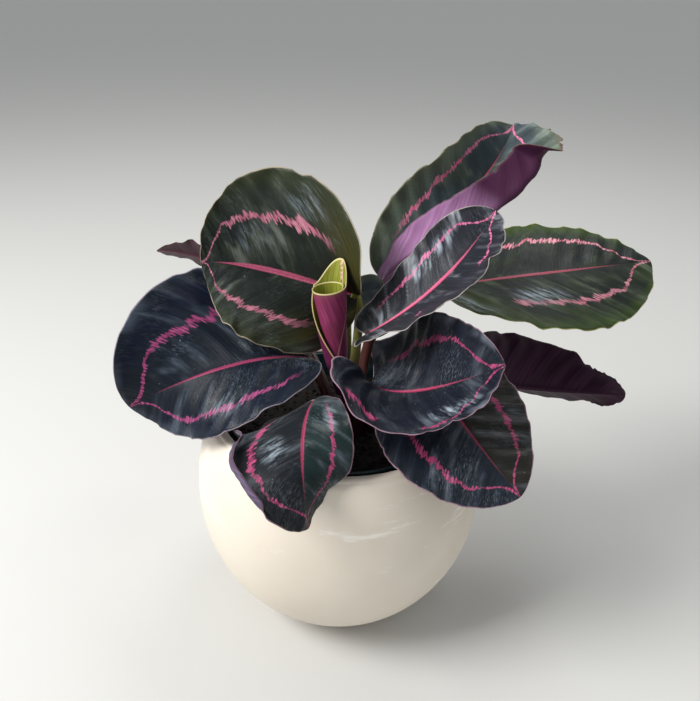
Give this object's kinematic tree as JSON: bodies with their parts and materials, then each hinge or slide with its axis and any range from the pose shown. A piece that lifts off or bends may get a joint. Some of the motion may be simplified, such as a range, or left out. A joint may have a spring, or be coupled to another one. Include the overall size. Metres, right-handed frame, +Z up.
{
  "type": "potted calathea",
  "caption": "Leafy prayer plant with broad oval leaves on short stalks, growing in potting mix in a plastic nursery pot inside a round ceramic cover pot.",
  "frame": {"origin": "centre of the cover pot's flat underside", "axes": "+Z up, -Y towards the front that is looked at, +X to its right"},
  "size_m": [0.2999, 0.208, 0.2669],
  "materials": {
    "cream_ceramic": "satin cream glaze with faint brushed streaks",
    "dark_plastic": "thin dark green-black moulded plastic",
    "potting_mix": "damp dark peat and bark crumbs",
    "dark_leaf": "waxy blue-black leaf with a pink feathered ring, purple underneath",
    "green_leaf": "waxy dark green leaf with a pink feathered ring, purple underneath",
    "stalk": "smooth red-brown stalk",
    "rolled_leaf": "crimson outside and yellow-green inside"
  },
  "bodies": {
    "root": {"cover_pot": "cream_ceramic", "nursery_pot": "dark_plastic", "potting_mix": "potting_mix", "back_left_leaf": "green_leaf", "back_left_stalk": "stalk", "left_leaf": "dark_leaf", "left_stalk": "stalk", "front_left_leaf": "dark_leaf", "front_left_stalk": "stalk", "centre_right_leaf": "dark_leaf", "centre_right_stalk": "stalk", "front_right_leaf": "dark_leaf", "front_right_stalk": "stalk", "middle_leaf": "dark_leaf", "middle_stalk": "stalk", "back_right_leaf": "green_leaf", "back_right_stalk": "stalk", "right_leaf": "green_leaf", "right_stalk": "stalk", "low_right_leaf": "dark_leaf", "low_right_stalk": "stalk", "far_left_leaf": "dark_leaf", "far_left_stalk": "stalk", "small_leaf": "green_leaf", "small_stalk": "stalk", "rolled_leaf": "rolled_leaf", "rolled_leaf_stalk": "stalk"}
  },
  "joints": []
}
